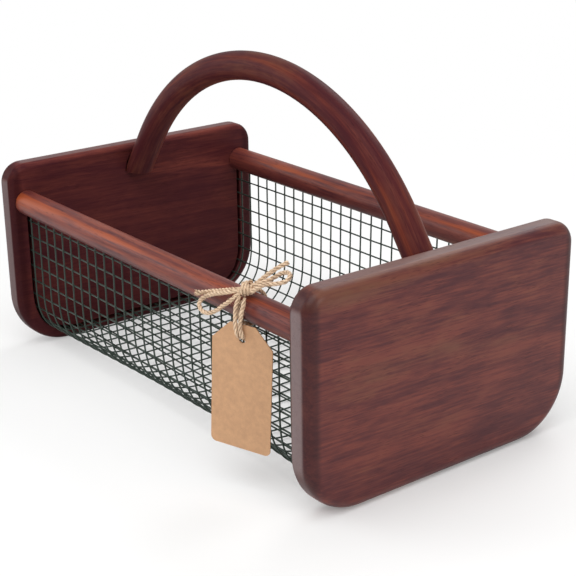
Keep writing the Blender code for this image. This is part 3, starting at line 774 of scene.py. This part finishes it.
class HOD_OT_handle(Operator):
    """Makes the bent hoop handle"""
    bl_idname = "hod.handle"
    bl_label = "Handle"

    def execute(self, context):
        sine, cosine = sin(LEG_ANGLE), cos(LEG_ANGLE)
        radius = (FOOT_X * sine + (FOOT_Z - HANDLE_TOP) * cosine) / (1 - cosine)
        bend = arc((0, HANDLE_TOP - radius), radius, pi / 2 + LEG_ANGLE, pi / 2 - LEG_ANGLE, 121)
        foot = Vector((FOOT_X + cosine * 2 * HANDLE_RADIUS, FOOT_Z - sine * 2 * HANDLE_RADIUS))
        left = [tuple(Vector((-foot.x, foot.y)).lerp(Vector(bend[0]), step / 12)) for step in range(12)]
        right = [(-x, z) for x, z in reversed(left)]
        tubes = Tubes()
        tubes.add([(x, 0.0, z) for x, z in left + bend + right], HANDLE_RADIUS, 64)
        mesh = turned_out(tubes.mesh("handle"), FOOT_Z)
        run = vectors(mesh.attributes["lay"].data, "vector")[:, 0]
        spots = vectors(mesh.vertices, "co")
        across = np.array([self.off_line(spot, radius) for spot in spots])
        grain = np.column_stack([run + 3.1, spots[:, 1] + 0.034, across + 0.052])
        mark_wood(mesh, grain, 0.36, 0.68, 0.20)
        add_piece("bent_handle", mesh, dull_wood, "basket", ["handle"])
        return {"FINISHED"}

    @staticmethod
    def off_line(spot, radius):
        """How far outside the hoop's centreline a point lies."""
        x, z = abs(spot[0]), spot[2] - (HANDLE_TOP - radius)
        if atan2(x, z) <= LEG_ANGLE:
            return hypot(x, z) - radius
        return x * sin(LEG_ANGLE) + z * cos(LEG_ANGLE) - radius


class HOD_OT_dowels(Operator):
    """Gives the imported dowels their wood"""
    bl_idname = "hod.dowels"
    bl_label = "Dowels"

    def execute(self, context):
        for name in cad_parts:
            if "dowel" in name:
                dress_node(name, dowel_beech)
        return {"FINISHED"}


# Wire mesh

class HOD_OT_wire_mesh(Operator):
    """Makes the welded mesh, wire by wire, at its real pitch"""
    bl_idname = "hod.wire_mesh"
    bl_label = "Wire mesh"

    def execute(self, context):
        sizes = context.scene.hod_sizes
        rng = np.random.default_rng(sizes.seed)
        radius = sizes.wire_diameter / 2

        def sway(count, size):
            """A slow random drift for a wire's points."""
            steps = np.linspace(0, 1, count)
            phases = rng.uniform(0, 2 * pi, 3)
            waves = [np.sin(2 * pi * k * steps + phases[i]) / k for i, k in enumerate((1.3, 2.7, 5.1))]
            return size * np.sum(waves, axis=0)

        hoops = [FIRST_HOOP_X + sizes.wire_pitch * index for index in range(-1, HOOP_COUNT)]
        stations = np.linspace(hoops[0], -hoops[0], 91)
        sheets = [Sheet(x, sizes) for x in stations]
        shortest = min(sheet.runs[-1] for sheet in sheets)
        runs = np.arange(sizes.first_wire, shortest - radius, sizes.wire_pitch)
        inward = sizes.wire_diameter * 0.84
        tubes = Tubes()
        for run in runs:
            drift = sway(len(stations), 0.00022) + sizes.wire_skew * np.clip(-stations / INNER_FACE, 0, 1)
            along = zip(stations, sheets, run + drift)
            tubes.add([(x, *sheet.at(here, inward)) for x, sheet, here in along], radius, 8)
        spots = []
        for x in hoops:
            sheet = Sheet(x, sizes)
            steps = np.linspace(0, sheet.runs[-1], 131)
            tubes.add(np.column_stack([x + sway(len(steps), 0.00020), sheet.at(steps, 0.0)]), radius, 8)
            skew = sizes.wire_skew * min(1.0, max(0.0, -x / INNER_FACE))
            spots += [(x, *spot) for spot in sheet.at(runs + skew, inward / 2)]
        mesh = tubes.mesh("wire_mesh")
        self.add_welds(mesh, spots, radius, rng)
        add_piece("welded_mesh", mesh, coated_wire, "basket", ["wire_mesh"], 60.0)
        return {"FINISHED"}

    @staticmethod
    def add_welds(mesh, spots, radius, rng):
        """A small bead of coating at each crossing."""
        bm = bmesh.new()
        bm.from_mesh(mesh)
        for spot in spots:
            size = radius * rng.uniform(1.25, 1.55)
            place = Matrix.Translation(spot) @ Matrix.Rotation(rng.uniform(0, pi), 4, "X")
            bmesh.ops.create_icosphere(bm, subdivisions=1, radius=size, matrix=place)
        bm.to_mesh(mesh)
        bm.free()


# Twine

def smooth_route(route, sizes):
    """Points along a smooth curve through a route's own points, a fifth of the twine's diameter apart."""
    step = sizes.twine_diameter / 5
    anchors = [Vector(point) for point in route]
    anchors = [anchors[0] * 2 - anchors[1]] + anchors + [anchors[-1] * 2 - anchors[-2]]
    fine = []
    for before, start, end, after in zip(anchors, anchors[1:], anchors[2:], anchors[3:]):
        for part in range(32):
            t = part / 32
            fine.append(0.5 * (
                2 * start + (end - before) * t + (2 * before - 5 * start + 4 * end - after) * t ** 2
                + (3 * start - before - 3 * end + after) * t ** 3))
    fine.append(anchors[-2])
    fine = np.array([tuple(point) for point in fine])
    runs = runs_along(fine)
    wanted = np.linspace(0.0, runs[-1], max(2, round(runs[-1] / step)) + 1)
    return np.column_stack([np.interp(wanted, runs, fine[:, axis]) for axis in range(3)])


def run_of(points):
    return float(runs_along(points)[-1])


class Twine:
    """One length of three-ply twine, with its loose fibres and frayed end."""
    PLY_OFFSET = 0.55
    PLY_RADIUS = 0.52
    OPENED_RUN = 0.006
    FUZZ_LENGTHS = (0.0008, 0.0028)
    FUZZ_RADII = (0.00004, 0.00008)
    BRUSH_RADII = (0.00007, 0.00014)

    def __init__(self, name, points, sizes, seed, squeeze=None, lay=None):
        self.name = name
        self.points = np.asarray(points, float)
        self.radius = sizes.twine_diameter / 2
        self.lay = lay or sizes.twine_lay
        self.rng = np.random.default_rng(seed)
        self.squeeze = np.ones(len(self.points)) if squeeze is None else squeeze
        self.fuzz_per_m = sizes.fuzz_per_mm * 1000
        self.tubes = Tubes()
        self.tangents, self.right, self.up = directions(self.points)
        self.runs = runs_along(self.points)

    def outward(self, angles):
        return np.cos(angles)[:, None] * self.right + np.sin(angles)[:, None] * self.up

    def plies(self, spread=0.0):
        """Three plies wound round each other, spread apart towards a frayed end."""
        opened = 1 + np.clip(1 - (self.runs[-1] - self.runs) / self.OPENED_RUN, 0, 1) ** 2 * spread
        for ply in range(3):
            uneven = 1 + 0.07 * np.sin(self.runs * 900 + ply * 2.1) + 0.05 * np.sin(self.runs * 2300 + ply)
            angles = 2 * pi * (self.runs / self.lay + ply / 3)
            offset = self.radius * self.PLY_OFFSET * self.squeeze * opened
            line = self.points + self.outward(angles) * offset[:, None]
            thick = self.radius * self.PLY_RADIUS * self.squeeze * uneven / opened ** 0.4
            self.tubes.add(line, thick, 10, ply=float(ply) + self.rng.uniform(0, 0.5))

    def fibre(self, start, heading, length, curl, thick):
        """One loose fibre, thinner towards its tip."""
        steps = 6
        heading = heading / norm(heading)
        turn = self.rng.normal(size=3)
        line = [start]
        for _ in range(steps):
            turn = turn * 0.6 + self.rng.normal(size=3) * 0.5
            heading = heading + turn * curl / steps
            heading /= norm(heading)
            line.append(line[-1] + heading * length / steps)
        radii = np.linspace(thick, thick * 0.35, steps + 1)
        self.tubes.add(line, radii, 3, ply=5.0 + self.rng.uniform(0, 3))

    def random_side(self, index):
        angle = self.rng.uniform(0, 2 * pi)
        return cos(angle) * self.right[index] + sin(angle) * self.up[index]

    def fuzz(self, share=1.0):
        """Loose fibres all along the twine."""
        for _ in range(int(self.runs[-1] * self.fuzz_per_m * share)):
            index = int(self.rng.integers(1, len(self.points) - 1))
            side = self.random_side(index)
            start = self.points[index] + side * self.radius * 0.80 * self.squeeze[index]
            along = self.tangents[index] * self.rng.choice((-1.0, 1.0))
            heading = along * self.rng.uniform(0.9, 1.6) + side * self.rng.uniform(0.15, 0.75)
            length = self.rng.uniform(*self.FUZZ_LENGTHS) * self.rng.uniform(0.6, 1.0)
            self.fibre(start, heading, length, 0.9, self.rng.uniform(*self.FUZZ_RADII))

    def fray(self, length, count, spread):
        """A brush of fibres at the cut end."""
        rooted = self.points[-1] - self.tangents[-1] * 0.0012
        for _ in range(count):
            side = self.random_side(-1)
            start = rooted + side * self.radius * self.rng.uniform(0.1, 0.95)
            heading = self.tangents[-1] + side * self.rng.uniform(0.0, spread)
            reach = length * self.rng.uniform(0.45, 1.0)
            self.fibre(start, heading, reach, 0.55, self.rng.uniform(*self.BRUSH_RADII))

    def mesh(self):
        """The twine's mesh, which knows how far down between the plies each point lies, for the painted
        shade in those crevices.
        """
        mesh = self.tubes.mesh(self.name)
        spots = vectors(mesh.vertices, "co")
        apart = np.full(len(spots), np.inf)
        for point, squeeze in zip(self.points, self.squeeze):
            apart = np.minimum(apart, norm(spots - point, axis=1) / squeeze)
        ply_shade = np.clip((1.0 - apart / self.radius) / 0.45, 0.0, 1.0)
        mark(mesh, "ply_shade", np.column_stack([ply_shade, ply_shade, ply_shade]))
        return mesh


def add_twine(twine, body, replaced):
    return add_piece(twine.name, twine.mesh(), jute_twine, body, replaced, 70.0)


class HOD_OT_bow(Operator):
    """Ties the bow on the front rail"""
    bl_idname = "hod.bow"
    bl_label = "Bow"

    def execute(self, context):
        sizes = context.scene.hod_sizes
        seed = sizes.seed * 100
        left_brush = (0.0034, 170, 0.75)
        right_brush = (0.0016, 60, 0.25)
        left_tail_piece, left_tail = self.strand("left_tail", LEFT_TAIL, sizes, seed + 1, 1.2, left_brush)
        left_loop_piece, left_loop = self.strand("left_loop", LEFT_LOOP, sizes, seed + 2)
        right_tail_piece, _ = self.strand("right_tail", RIGHT_TAIL, sizes, seed + 3, 0.25, right_brush)
        right_loop_piece, right_loop = self.strand("right_loop", RIGHT_LOOP, sizes, seed + 4)

        reach = RAIL_RADIUS + SEAT_GAP + sizes.twine_diameter / 2
        angles = np.linspace(*WRAP_ANGLES, 110)
        ring = np.column_stack([
            np.full(len(angles), WRAP_X), -RAIL_Y - reach * np.cos(angles),
            RAIL_Z + reach * np.sin(angles)])
        wrap = Twine("rail_wrap", ring, sizes, seed + 5)
        wrap.plies()
        wrap.fuzz()
        wrap_piece = add_twine(wrap, "basket", ["twine_wrap"])
        knot_piece = self.knot(sizes, seed + 6)

        round(run_of(left_tail), 3)
        round(run_of(left_loop), 3)
        round(run_of(right_loop), 3)
        round(run_of(ring), 3)
        return {"FINISHED"}

    @staticmethod
    def strand(label, route, sizes, seed, spread=0.0, brush=None):
        """A tail or loop of the bow, brushed out where it ends bare, and the line it follows."""
        twine = Twine("bow_" + label, smooth_route(route, sizes), sizes, seed)
        twine.plies(spread)
        twine.fuzz()
        if brush:
            twine.fray(*brush)
        return add_twine(twine, "basket", ["twine_" + label]), twine.points

    @staticmethod
    def knot(sizes, seed):
        """Turns of twine pulled tight round the strands that cross under them."""
        axis = (Vector(RIGHT_TAIL[0]) - Vector(LEFT_TAIL[0])).normalized()
        out = Vector((0, KNOT_CENTRE.y + RAIL_Y, KNOT_CENTRE.z - RAIL_Z))
        out = (out - axis * out.dot(axis)).normalized()
        side = axis.cross(out)
        turns, start = 2.8, 0.6
        half_depth, half_height, length, slant = 0.0030, 0.0044, 0.0072, 0.0013
        shift_along, shift_out = 0.0007, 0.0008
        coil = []
        for share in np.linspace(0, 1, 130):
            angle = 2 * pi * turns * share + start
            along = axis * (shift_along + (share - 0.5) * length + slant * sin(angle))
            round_it = out * (shift_out + half_depth * cos(angle)) + side * half_height * sin(angle)
            coil.append(tuple(KNOT_CENTRE + along + round_it))
        knot = Twine("bow_knot", coil, sizes, seed)
        knot.plies()
        knot.fuzz(0.6)
        crossings = (
            (LEFT_TAIL[0], (0.1270, -0.1112, 0.1403), RIGHT_LOOP[-1]),
            (LEFT_LOOP[0], (0.1276, -0.1140, 0.1388), RIGHT_TAIL[0]),
            (LEFT_LOOP[-1], (0.1290, -0.1128, 0.1402), RIGHT_LOOP[0]),
        )
        for index, route in enumerate(crossings):
            strand = Twine("strand", smooth_route(route, sizes), sizes, seed + 10 + index)
            strand.tubes = knot.tubes
            strand.plies()
        return add_twine(knot, "basket", ["twine_knot"])


class HOD_OT_tag(Operator):
    """Hangs the card tag on its two strands"""
    bl_idname = "hod.tag"
    bl_label = "Tag"

    def execute(self, context):
        sizes = context.scene.hod_sizes
        points = smooth_route(LEFT_STRAND + THROUGH_HOLE + RIGHT_STRAND[::-1], sizes)
        runs = runs_along(points)
        from_middle = np.abs(runs - runs[-1] / 2)
        from_ends = np.minimum(runs, runs[-1] - runs)
        squeeze = 0.62 + 0.38 * np.clip((from_middle - 0.0035) / 0.005, 0, 1)
        squeeze = squeeze * (0.55 + 0.45 * np.clip(from_ends / 0.004, 0, 1))
        strands = Twine("tag_strands", points, sizes, sizes.seed * 100 + 30, squeeze)
        strands.plies()
        strands.fuzz()
        strands_piece = add_twine(strands, "tag", ["twine_left_strand", "twine_right_strand"])
        knot_piece = self.back_knot(sizes)
        round(run_of(points), 3)
        dress_node("tag", kraft_card)
        return {"FINISHED"}

    @staticmethod
    def back_knot(sizes):
        """The small tight knot behind the tag's hole."""
        turned = Euler((pi / 2, 0, TAG_TURN)).to_matrix().to_4x4()
        turned = turned @ Matrix.Rotation(TAG_ROLL, 4, "Z")
        placed = Matrix.Translation(TAG_HOLE) @ turned @ Matrix.Translation((0, 0.0008, -0.0034))
        scale = 0.00072
        line = []
        for t in np.linspace(0, 2 * pi * 0.97, 90):
            trefoil = Vector((sin(t) + 2 * sin(2 * t), cos(t) - 2 * cos(2 * t), -1.1 * sin(3 * t)))
            line.append(tuple(placed @ (trefoil * scale)))
        knot = Twine("tag_back_knot", line, sizes, sizes.seed * 100 + 40, np.full(len(line), 0.74), 0.006)
        knot.plies()
        knot.fuzz(0.5)
        return add_twine(knot, "tag", ["tag_knot"])


# Stage

class HOD_OT_stage(Operator):
    """Sets the camera, the lamps, the floor and the world"""
    bl_idname = "hod.stage"
    bl_label = "Stage"

    def execute(self, context):
        scene = context.scene
        scene.view_settings.view_transform = "Standard"
        self.camera(scene)
        self.floor(scene.hod_colours)
        self.lamps()
        self.world(scene)
        return {"FINISHED"}

    @staticmethod
    def camera(scene):
        data = bpy.data.cameras.new("camera")
        data.sensor_width = 36.0
        data.lens = CAMERA_LENS
        data.shift_x, data.shift_y = CAMERA_SHIFT
        data.clip_start = 0.01
        data.clip_end = 50.0
        turn = Matrix.Rotation(CAMERA_PAN, 4, "Z") @ Matrix.Rotation(pi / 2 - CAMERA_DIP, 4, "X") \
            @ Matrix.Rotation(CAMERA_ROLL, 4, "Z")
        scene.camera = put("camera", data)
        scene.camera.matrix_world = Matrix.Translation(CAMERA_PLACE) @ turn

    @staticmethod
    def floor(colours):
        """A pale floor that keeps the shadow beside the object, glows whiter under the basket as painted
        light over the shadow there, and turns white further out.
        """
        half = 8.0
        corners = [(-half, -half, 0), (half, -half, 0), (half, half, 0), (-half, half, 0)]
        mesh = mesh_from("floor", corners, [(0, 1, 2, 3)])
        finish = new_finish("studio_floor")
        paper = finish.node("BsdfDiffuse", None, {"Color": (*colours.floor, 1.0)})
        white = finish.node("Emission", None, {"Color": WHITE, "Strength": 1.0})
        rays = finish.node("LightPath")
        x, y, _ = finish.split(finish.place())
        distant = ((x * x + y * y) ** 0.5).rise(0.27, 0.85)
        # Painted light: the camera sees more white glow under the basket, lightening its shadow, and less
        # by the near board
        under = 0.36 - x.rise(0.08, 0.22) * 0.26
        seen = rays.out("Is Camera Ray") * (under + distant * (1.0 - under))
        mixed = finish.node("MixShader", None, (seen, paper, white))
        finish.close(mixed, "OutputMaterial")
        mesh.materials.append(finish.block)
        put("floor", mesh)

    @staticmethod
    def lamps():
        middle = Vector((0, 0, 0.10))
        for name, place, size, power in (
            ("key_lamp", (0.40, -0.70, 1.60), 1.30, 14.5),
            ("left_lamp", (-1.50, -1.30, 0.90), 1.20, 9.5),
            ("back_lamp", (-0.50, 1.40, 1.50), 1.20, 11.5),
            ("front_lamp", (1.90, 0.20, 0.95), 0.90, 8.6),
        ):
            data = bpy.data.lights.new(name, "AREA")
            data.shape = "SQUARE"
            data.size = size
            data.energy = power
            lamp = put(name, data)
            lamp.location = place
            lamp.rotation_euler = (middle - Vector(place)).to_track_quat("-Z", "Y").to_euler()

    @staticmethod
    def world(scene):
        """White where it is seen, softer where it lights, and dark where the near board mirrors it."""
        scene.world = bpy.data.worlds.new("studio")
        finish = Finish(scene.world)
        rays = finish.node("LightPath")
        place = finish.node("TexCoord").out("Generated")
        back = finish.node("VectorMath", {"operation": "DOT_PRODUCT"}, (place, (-0.78, 0.60, 0.15)))
        mirrored = 0.24 + back.out("Value").rise(-0.55, 0.35) * 0.40
        seen = rays.out("Is Camera Ray") + rays.out("Is Transmission Ray")
        glossy = rays.out("Is Glossy Ray")
        strength = seen + glossy * mirrored + (1.0 - seen - glossy) * 0.55
        light = finish.node("Background", None, {"Color": WHITE, "Strength": strength})
        finish.close(light, "OutputWorld")


OPERATORS = (
    HOD_OT_stage, HOD_OT_bow, HOD_OT_tag, HOD_OT_boards, HOD_OT_rails, HOD_OT_handle, HOD_OT_dowels,
    HOD_OT_wire_mesh,
)


class HOD_PT_panel(Panel):
    """Lists the hod's sizes, colours and pieces"""
    bl_label = "Garden hod"
    bl_idname = "HOD_PT_panel"
    bl_space_type = "VIEW_3D"
    bl_region_type = "UI"
    bl_category = "Garden Hod"

    def draw(self, context):
        for operator in OPERATORS:
            self.layout.operator(operator.bl_idname)
        for group in (context.scene.hod_sizes, context.scene.hod_colours):
            for name in group.__annotations__:
                self.layout.prop(group, name)


CLASSES = (HodSizes, HodColours, *OPERATORS, HOD_PT_panel)


def register():
    for cls in CLASSES:
        bpy.utils.register_class(cls)
    bpy.types.Scene.hod_sizes = PointerProperty(type=HodSizes)
    bpy.types.Scene.hod_colours = PointerProperty(type=HodColours)


def unregister():
    del bpy.types.Scene.hod_colours
    del bpy.types.Scene.hod_sizes
    for cls in reversed(CLASSES):
        bpy.utils.unregister_class(cls)


def main():
    register()
    for operator in OPERATORS:
        group, name = operator.bl_idname.split(".")
        getattr(getattr(bpy.ops, group), name)()


if __name__ == "__main__":
    main()
